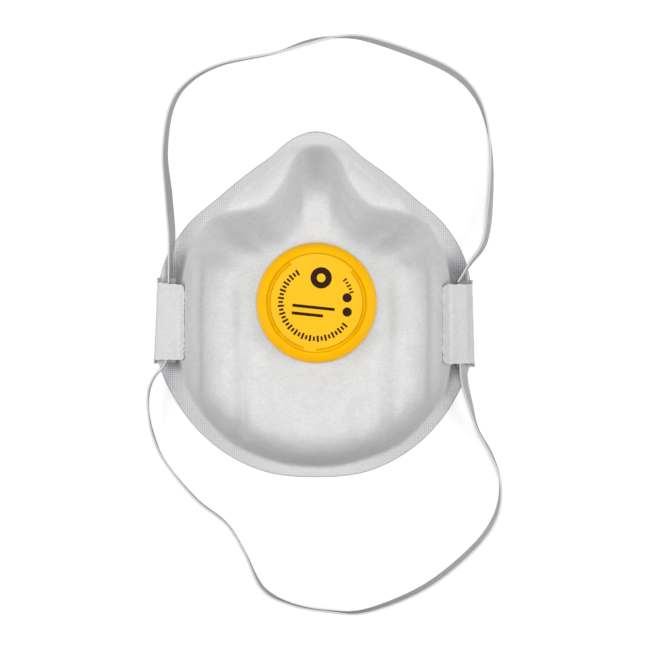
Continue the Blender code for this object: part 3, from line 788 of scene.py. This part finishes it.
def cup_grid(inset, coarse):
    """Rows of points from the hole outwards, their normals, and shares past the foot and in the
    weld band."""
    angles = np.arange(CUP_ANGLES // coarse) * math.tau / (CUP_ANGLES // coarse)
    foot = outline_radius(FOOT_OUTLINE, angles)[:, None]
    edge = rim_radius(angles)[:, None] - inset
    flat = np.linspace(HOLE_RADIUS, TOP_RADIUS, FLAT_RINGS + 1)[:-1]
    wall_share = np.linspace(0, 1, WALL_RINGS // coarse + 1)
    rim_share = np.linspace(0, 1, RIM_RINGS // coarse + 1)[1:]
    radius = np.hstack([np.repeat(flat[None], len(angles), axis=0),
                        TOP_RADIUS + (foot - TOP_RADIUS) * wall_share,
                        foot + (edge - foot) * rim_share])
    x, y = radius * np.sin(angles)[:, None], radius * np.cos(angles)[:, None]
    points = np.stack([x, y, cup_height(x, y)], axis=-1)
    round_cup = np.roll(points, -1, axis=0) - np.roll(points, 1, axis=0)
    outwards = np.gradient(points, axis=1)
    normals = np.cross(outwards, round_cup)
    normals = unit(normals * np.sign(normals[..., 2:]))
    past_foot = fade(radius - foot, -FOOT_FADE / 2, FOOT_FADE / 2)
    past_band = fade(edge + inset - radius - WELD_BAND, *WELD_BAND_FADE)
    return points, normals, past_foot, 1 - past_band * loose_room(x, y)


def mouth_shade(x, y, z):
    """How much painted shade darkens the rim, just past the sleeves' mouths."""
    shade = np.zeros(x.shape)
    for side, top, bottom, inner, outer in MOUTH_SHADES:
        low, high = SLEEVE_SPANS[side]
        past = np.maximum((y - high) / top, (low - y) / bottom)
        inner = inner - MOUTH_SPREAD * np.abs(y - MOUTH_MIDDLE)
        across = (smoothstep((np.abs(x) - inner) / MOUTH_EDGE)
                  * smoothstep((outer - np.abs(x)) / MOUTH_EDGE))
        same_side = (x < 0) if side == "left" else (x > 0)
        shade += same_side * across * smoothstep(1.25 - past) * (z < MOUTH_TOP)
    return shade


def shade_cover(obj, ring, weld, depth):
    """Stores the felt's emboss, and painted shade in its pleats, on its lip and past the mouths.
    """
    x, y, z = np.moveaxis(ring, -1, 0)
    none, whole = GRID_STRENGTH
    near_sleeves = fade(np.abs(x), *GRID_ACROSS)
    store(obj, "emboss", weld * (none + (whole - none) * near_sleeves))
    face = depth.shape[1]
    # Painted shade in the pleats' grooves, growing with their depth.
    pleat_shade = np.zeros(x.shape)
    pleat_shade[:, :face] = PLEAT_SHADE * np.clip(depth / PLEAT_SHADE_DEPTH, 0, 1) ** 2
    store(obj, "pleat_shade", pleat_shade)
    # Painted shade along the rim's rolled lip.
    edge = np.zeros(x.shape)
    edge[:, face + 1:face + len(RIM_LIP) - 1] = 1
    store(obj, "edge", edge)
    # Painted shade on the rim past the sleeves' mouths.
    store(obj, "mouth_painted_shade", mouth_shade(x, y, z))


def make_layer(name, material, slot, replaced):
    """One layer of the cup, from the valve hole to the rim."""
    (rim_outer, wall_outer), (rim_inner, wall_inner) = LAYERS[name]
    is_cover = rim_outer == 0
    inset, coarse = (RIM_LIP[0][0], 1) if is_cover else (UNDER_INSET, 2)
    points, normals, past_foot, band = cup_grid(inset, coarse)
    depth = pleat_depth(points[..., 0], points[..., 1])
    surface = points - depth[..., None] * normals
    outer_depth = wall_outer + (rim_outer - wall_outer) * past_foot
    inner_depth = wall_inner + (rim_inner - wall_inner) * past_foot
    outer = surface - outer_depth[..., None] * normals
    inner = surface - inner_depth[..., None] * normals
    if is_cover:
        soft = lumps(outer.reshape(-1, 3), FELT_LUMPS, 3).reshape(depth.shape)
        outer = outer + (soft * (1 - (1 - RIM_LUMP_SHARE) * past_foot))[..., None] * normals
    sections = [outer]
    risen = points[..., 2] - RIM_TOP
    weld = [band * fade(risen, *reversed(WELD_RISE))]
    if is_cover:
        outwards = unit(outer[:, -1:] * (1, 1, 0))
        lip = np.array(RIM_LIP[1:])
        sections.append(
            outer[:, -1:] + outwards * (inset - lip[None, :, :1]) - (0, 0, 1) * lip[None, :, 1:])
        weld.append(np.ones((len(outer), len(lip))))
    sections.append(inner[:, ::-1])
    weld.append(np.zeros(depth.shape))
    ring, weld = np.concatenate(sections, axis=1), np.concatenate(weld, axis=1)
    obj = add_mesh(name, ring.reshape(-1, 3), grid_faces(*weld.shape, True, True), material,
                   "mask", slot, replaced)
    store(obj, "weld", weld)
    if is_cover:
        shade_cover(obj, ring, weld, depth)


# ---- sleeves ----

def sleeve_strip(side, sign):
    """The middle of a sleeve's strip, from the lower leg over the fold to the crimped edge, as
    (outwards, along, up), with its thickness and its painted shade inside the fold."""
    low, high = SLEEVE_SPANS[side]
    path = catmull_rom(SLEEVE_PATH, 6)
    reach = run_length(path)[None, :]
    past_fold = reach - reach[0, np.argmax(path[:, 0])]
    left = reach[0, -1] - reach
    along_leg = np.clip(past_fold / past_fold[0, -1], 0, 1)
    share = np.linspace(0, 1, SLEEVE_ROWS)[:, None]

    cut = CORNER - np.sqrt(CORNER**2 - np.clip(CORNER - left, 0, CORNER) ** 2)
    (first, first_pace), (second, second_pace) = RAGGED
    ragged = first * np.sin(reach * first_pace + sign) + second * np.sin(reach * second_pace)
    beyond = (
        MOUTH_OVERHANG * fade(past_fold, *MOUTH_FADE) - cut + ragged * smoothstep(left / 1.5))
    y = (low - beyond) + (high - low + 2 * beyond - SLEEVE_SLANT[side] * along_leg) * share

    out, up = (np.repeat(path[None, :, i], SLEEVE_ROWS, axis=0) for i in (0, 1))
    at_fold = fade(out, *SLEEVE_TUCK_SPAN)
    out = out - at_fold * (SLEEVE_TUCK[side] + SLEEVE_LEAN[side] * (2 * share - 1))
    climb = np.clip((CLIMB_START - out) / (CLIMB_START - SLEEVE_PATH[-1][0]), 0, 1)
    out = out - SLEEVE_CLIMB[side] * (past_fold > 0) * climb
    thickness = WEB_THICKNESS * (0.35 + 0.65 * smoothstep(left / 1.8))
    # The crimped tip is pressed a little into the felt.
    clear = thickness / 2 + SLEEVE_GAP * (1.7 * smoothstep(left / 1.2) - 0.7)
    rise = cup_height(sign * (WELD_LINE + out[:, -1:]), y[:, -1:]) + clear[:, -1:] - up[:, -1:]

    # The crimped edge is scalloped, and the corners of the fold flare outwards.
    upper = smoothstep(past_fold / 2)
    uneven = SLEEVE_SCALLOPS * share + 0.5 * np.sin(math.tau * 1.7 * share + sign)
    scallops = np.abs(np.sin(math.pi * uneven)) * (0.7 + 0.3 * np.sin(math.tau * 1.3 * share))
    out = out + SCALLOP_DEPTH * np.exp(-left / 0.8) * (1 - scallops) * upper
    to_end = np.minimum(share, 1 - share) * (high - low)
    flare = (
        FOLD_FLARE * np.exp(-to_end / 1.2) + FOLD_RIPPLE * np.sin(share * 41) * np.sin(share * 17))
    out = out + flare * np.exp(-(past_fold / 2.0) ** 2)

    wander = 0.25 * np.sin(math.tau * 3.3 * share + sign) * np.sin(math.tau * 7.1 * share)
    from_groove = left - CRIMP_REACH - wander
    depth, groove_width = CRIMP_GROOVE
    behind, height, ridge_width = CRIMP_RIDGE
    puckers = np.sin(math.tau * uneven) * np.exp(-(left / CRIMP_REACH) ** 2)
    crimp = (height * np.exp(-((from_groove - behind) / ridge_width) ** 2)
             - depth * np.exp(-(from_groove / groove_width) ** 2) + PUCKER_HEIGHT * puckers)
    sag = SLEEVE_SAG * smoothstep((left - 3) / 3) * np.cos(math.tau * share) ** 2
    up = up + rise * along_leg ** 1.5 + (crimp - sag) * upper

    # The upper leg lies on the wall and follows its pleats.
    wall_x = sign * (WELD_LINE + out)
    wall = cup_height(wall_x, y) - pleat_depth(wall_x, y) + clear
    up = np.maximum(up, np.where(along_leg > 0.3, wall, 0))
    # Painted shade on the faces inside the fold, fading near the crimped tip.
    facing = fade(out, 5.8, 4.2)
    under = facing * fade(left, 1, 2.5)
    return out, y, up, thickness, np.hstack([facing * (past_fold < -1), under[:, ::-1]])


def make_sleeve(side, material):
    """A folded strip: the lower leg on the rim, the fold outwards, the upper leg on the wall."""
    sign = -1 if side == "left" else 1
    out, y, up, thickness, fold_shade = sleeve_strip(side, sign)
    middle = np.stack([out, up], axis=-1)
    along = np.gradient(middle, axis=1)
    normal = unit(np.stack([along[..., 1], -along[..., 0]], axis=-1))
    leaves = []
    for facing_up in (1, -1):
        shifted = middle + normal * (facing_up * thickness / 2)[..., None]
        leaves.append(
            np.stack([sign * (WELD_LINE + shifted[..., 0]), y, shifted[..., 1]], axis=-1))
    ring = np.concatenate([leaves[0], leaves[1][:, ::-1]], axis=1)
    rows, columns = ring.shape[:2]
    ring = ring.reshape(-1, 3)
    ring[:, 2] += lumps(ring, SLEEVE_LUMPS, 11 + sign)
    faces = grid_faces(rows, columns, False, True)
    for start, step in ((0, 1), ((rows - 1) * columns, -1)):
        for k in range(columns // 2 - 1):
            quad = [start + k, start + k + 1, start + columns - 2 - k, start + columns - 1 - k]
            faces.append(quad[::step])
    obj = add_mesh(
        side + "_sleeve", ring, faces, material, "mask", "sleeve_web", (side + "_strap_sleeve",))
    # Painted shade inside the fold.
    store(obj, "fold_shade", fold_shade)


# ---- valve ----

def rounded(profile, radius, closed=True, steps=4):
    """Profile with its corners rounded, and a point each side that keeps the flats flat."""
    profile = np.array(profile, float)
    made = []
    for i, corner in enumerate(profile):
        if not closed and i in (0, len(profile) - 1):
            made.append(corner)
            continue
        before = profile[i - 1] - corner
        after = profile[(i + 1) % len(profile)] - corner
        before_length, after_length = np.linalg.norm(before), np.linalg.norm(after)
        before, after = before / before_length, after / after_length
        turn = math.pi - math.acos(np.clip(before @ after, -1, 1))
        reach = min(radius * math.tan(turn / 2), 0.4 * before_length, 0.4 * after_length)
        start, end = corner + before * reach, corner + after * reach
        made.append(start + before * min(0.1 * reach + 0.04, 0.05 * before_length))
        for k in range(steps + 1):
            t = k / steps
            made.append((1 - t)**2 * start + 2 * t * (1 - t) * corner + t**2 * end)
        made.append(end + after * min(0.1 * reach + 0.04, 0.05 * after_length))
    return np.array(made)


def lathe_points(profile, steps=VALVE_STEPS):
    """Profile of (radius, height) turned round Z, and its faces."""
    angles = np.arange(steps)[:, None] * math.tau / steps
    points = np.stack([profile[None, :, 0] * np.cos(angles), profile[None, :, 0] * np.sin(angles),
                       np.repeat(profile[None, :, 1], steps, axis=0)], axis=-1)
    return points.reshape(-1, 3), grid_faces(steps, len(profile), True, True)


def combine(parts):
    """Points and faces of several parts as one."""
    points, faces = [], []
    for part_points, part_faces in parts:
        offset = sum(len(p) for p in points)
        points.append(np.asarray(part_points, float))
        faces += [[index + offset for index in face] for face in part_faces]
    return np.vstack(points), faces


def rod(radius, low, high, centre=(0, 0)):
    """A standing rod with rounded ends."""
    profile = rounded(
        [(0.01, low), (radius, low), (radius, high), (0.01, high)], BAR_BEVEL, closed=False)
    points, faces = lathe_points(profile, ROD_STEPS)
    return points + (*centre, 0), faces


def box_between(start, end, width, low, high):
    """A bar between two points in the plane, with bevelled long edges."""
    start, end = np.array(start, float), np.array(end, float)
    along = unit(end - start)
    beside = np.array([-along[1], along[0]])
    profile = rounded([(-width / 2, low), (width / 2, low), (width / 2, high),
                       (-width / 2, high)], BAR_BEVEL, steps=3)
    rows = [np.column_stack([middle + profile[:, :1] * beside, profile[:, 1]])
            for middle in (start, end)]
    return np.vstack(rows), capped_faces(2, len(profile))


def stack(outlines):
    """A solid from equal closed outlines one over the other, with flat ends."""
    rows, count = len(outlines), len(outlines[0])
    faces = grid_faces(rows, count, False, True)
    faces += [list(reversed(range(count))), list(range((rows - 1) * count, rows * count))]
    return np.vstack(outlines), faces


def add_valve_piece(name, parts, *rest):
    """A piece from parts whose heights are above the seat's underside."""
    points, faces = combine(parts)
    return add_mesh(name, points + (0, 0, SEAT_BASE), faces, *rest)


def make_seat(material):
    parts = [lathe_points(rounded(SEAT_PROFILE, SEAT_CORNER))]
    width, thickness = SPOKE_SIZE
    low, high = SPOKE_MIDDLE - thickness / 2, SPOKE_MIDDLE + thickness / 2
    parts.append(rod(HUB_RADIUS, low - 0.1, high + 0.1))
    parts.append(rod(STUD_RADIUS, high - 0.3, STUD_TOP))
    bore = min(r for r, z in SEAT_PROFILE)
    for i in range(SPOKE_COUNT):
        angle = math.tau * (i + 0.5) / SPOKE_COUNT
        along = np.array([math.cos(angle), math.sin(angle)])
        ends = along * HUB_RADIUS / 2, along * (bore + SPOKE_OVERLAP)
        parts.append(box_between(*ends, width, low, high))
    ring = add_valve_piece("valve_ring", parts, material, "mask", "seat_yellow", ("valve_seat",))
    # Keeps the yellow from tinting the white felt round it.
    ring.visible_diffuse = False


def make_cap(material):
    edges = [edge + nudge for edge in (*CAP_SHIELD_ANGLES, *CAP_LATCH_ANGLES)
             for nudge in (-CAP_NOTCH, -0.3, 0.3, CAP_NOTCH)]
    degrees = np.array(sorted({360 * i / VALVE_STEPS for i in range(VALVE_STEPS)} | set(edges)))
    radius = np.full(len(degrees), CAP_RADIUS)
    for low, high in (CAP_SHIELD_ANGLES, CAP_LATCH_ANGLES):
        share = (smoothstep((degrees - low + CAP_NOTCH) / (2 * CAP_NOTCH))
                 * smoothstep((high + CAP_NOTCH - degrees) / (2 * CAP_NOTCH)))
        radius = radius + (CAP_SHIELD_RADIUS - CAP_RADIUS) * share
    angles = np.radians(degrees)
    outlines = []
    for inwards, height in reversed(CAP_EDGE):
        r = radius - inwards
        outlines.append(
            np.column_stack([r * np.cos(angles), r * np.sin(angles), np.full(len(r), height)]))
    parts = [stack(outlines)]
    for i in range(CAP_LEG_COUNT):
        angle = math.tau * (i + 0.5) / CAP_LEG_COUNT
        centre = (CAP_LEG_CIRCLE * math.cos(angle), CAP_LEG_CIRCLE * math.sin(angle))
        parts.append(rod(CAP_LEG_RADIUS, CAP_LEG_FOOT, CAP_HEIGHTS[0] + 0.5, centre))
    add_valve_piece("valve_cover", parts, material, "mask", "cap_yellow", ("valve_cap",))


def turned(points, degrees):
    angle = math.radians(degrees)
    x, y = np.asarray(points, float).T
    return np.column_stack(
        [x * math.cos(angle) - y * math.sin(angle), x * math.sin(angle) + y * math.cos(angle)])


def plate(outline):
    """A thin printed patch on the cap, from its outline."""
    outline = np.asarray(outline, float)
    top = CAP_HEIGHTS[1] + MARK_THICKNESS
    return stack([np.column_stack([outline, np.full(len(outline), z)])
                  for z in (CAP_HEIGHTS[1] - MARK_SINK, top)])


def circle(radius, centre=(0, 0), steps=48):
    angles = np.arange(steps) * math.tau / steps
    return np.column_stack([radius * np.cos(angles), radius * np.sin(angles)]) + centre


def bar(centre, length, width):
    corners = np.array([(-1, -1), (1, -1), (1, 1), (-1, 1)]) * (length / 2, width / 2)
    return corners + centre


def make_marks(material):
    parts = []
    for start, end, step, radius, length, width in TICKS:
        count = int((end - start) / step)
        for i in range(count + 1):
            tick = bar((radius, 0), length * (TICK_SHORT if i % 2 else 1), width)
            parts.append(plate(turned(tick, start + i * step)))
    x, y, outer, inner = MARK_RING
    profile = np.array([(inner, -MARK_SINK), (outer, -MARK_SINK), (outer, MARK_THICKNESS),
                        (inner, MARK_THICKNESS)]) + (0, CAP_HEIGHTS[1])
    points, faces = lathe_points(profile, 64)
    parts.append((points + (x, y, 0), faces))
    parts += [plate(circle(r, (x, y))) for x, y, r in MARK_DOTS]
    parts += [
        plate(turned(bar((x, y), length, width), MARK_TURN)) for x, y, length, width in MARK_BARS]
    add_valve_piece("cap_marks", parts, material, "mask", "cap_yellow").data.shade_flat()


def make_small_valve_parts(silicone, plastic):
    disc = lathe_points(rounded(DISC_PROFILE, DISC_CORNER, steps=3), 96)
    add_valve_piece(
        "diaphragm_disc", [disc], silicone, "diaphragm", "silicone", ("valve_diaphragm",))
    ring = lathe_points(rounded(RING_PROFILE, RING_CORNER), 128)
    add_valve_piece(
        "retaining_ring", [ring], plastic, "mask", "seat_yellow", ("valve_retaining_ring",))


# ---- nose pieces ----

def nose_strip(corners, radius, steps):
    """Corners of (share, depth), rounded and carried across the bridge of the nose."""
    scale = (WALL_LENGTH, 1)
    section = rounded(np.array(corners) * scale, radius, steps=steps) / scale
    share, depth = section.T[:, None, :]
    angles = np.radians(np.linspace(-NOSE_HALF_ANGLE, NOSE_HALF_ANGLE, NOSE_ROWS))[:, None]
    foot = outline_radius(FOOT_OUTLINE, angles.ravel())[:, None]
    radius = TOP_RADIUS + share * (foot - TOP_RADIUS)
    x, y = radius * np.sin(angles), radius * np.cos(angles)
    step = 0.1
    slope_x = (sharp_height(x + step, y) - sharp_height(x - step, y)) / (2 * step)
    slope_y = (sharp_height(x, y + step) - sharp_height(x, y - step)) / (2 * step)
    normal = unit(np.stack([-slope_x, -slope_y, np.ones_like(x)], axis=-1))
    return np.stack([x, y, sharp_height(x, y)], axis=-1) - depth[..., None] * normal


def make_nose_pieces(foam, aluminium):
    (low, high), (near, far) = FOAM_BAND, FOAM_DEPTHS
    before, after = CLIP_BAND[0] - GROOVE_ROOM, CLIP_BAND[1] + GROOVE_ROOM
    groove = near + GROOVE_DEPTH
    points = nose_strip([(low, near), (before, near), (before, groove), (after, groove),
                         (after, near), (high, near), (high, far), (low, far)], FOAM_CORNER, 4)
    # The pad is a little slimmer at its two ends.
    swell = np.sin(np.linspace(0, math.pi, NOSE_ROWS)) ** 0.3
    middle = points.mean(axis=1, keepdims=True)
    points = middle + (points - middle) * (FOAM_END + (1 - FOAM_END) * swell[:, None, None])
    faces = capped_faces(*points.shape[:2])
    points = points.reshape(-1, 3)
    points[:, 2] += lumps(points, FOAM_LUMPS, 23)
    pad = add_mesh("nose_pad", points, faces, foam, "mask", "nose_foam", ("nose_foam",))
    (low, high), (near, far) = CLIP_BAND, CLIP_DEPTHS
    points = nose_strip([(low, near), (high, near), (high, far), (low, far)], CLIP_CORNER, 2)
    add_mesh("nose_strip", points.reshape(-1, 3), capped_faces(*points.shape[:2]), aluminium,
             "mask", "nose_aluminium", ("nose_clip",))


make_camera()
make_straps()
make_layer("outer_felt", felt_material(), "felt", ("outer_cover",))
make_layer("filter_web", web_material("filter_web", (0.82, 0.82, 0.83), (0.74, 0.74, 0.76), 0.5),
           "filter_web", ("filter_layer",))
make_layer("lining_web", web_material("lining_web", (0.86, 0.86, 0.86), (0.78, 0.78, 0.79), 0.4),
           "lining_web", ("inner_lining",))
sleeve_web = sleeve_material()
for side in ("left", "right"):
    make_sleeve(side, sleeve_web)
# Both yellow plastics glow a little: painted light that brightens their shaded sides.
seat_yellow = plastic_material(
    "deep_yellow_plastic", (1.0, 0.52, 0.001), (0.98, 0.48, 0.001), 0.5, 0.14)
make_seat(seat_yellow)
make_cap(
    plastic_material("yellow_plastic", (0.97, 0.56, 0.02), (0.95, 0.53, 0.018), 0.4, 0.08))
make_marks(ink_material())
make_small_valve_parts(silicone_material(), seat_yellow)
make_nose_pieces(foam_material(), aluminium_material())
make_studio()
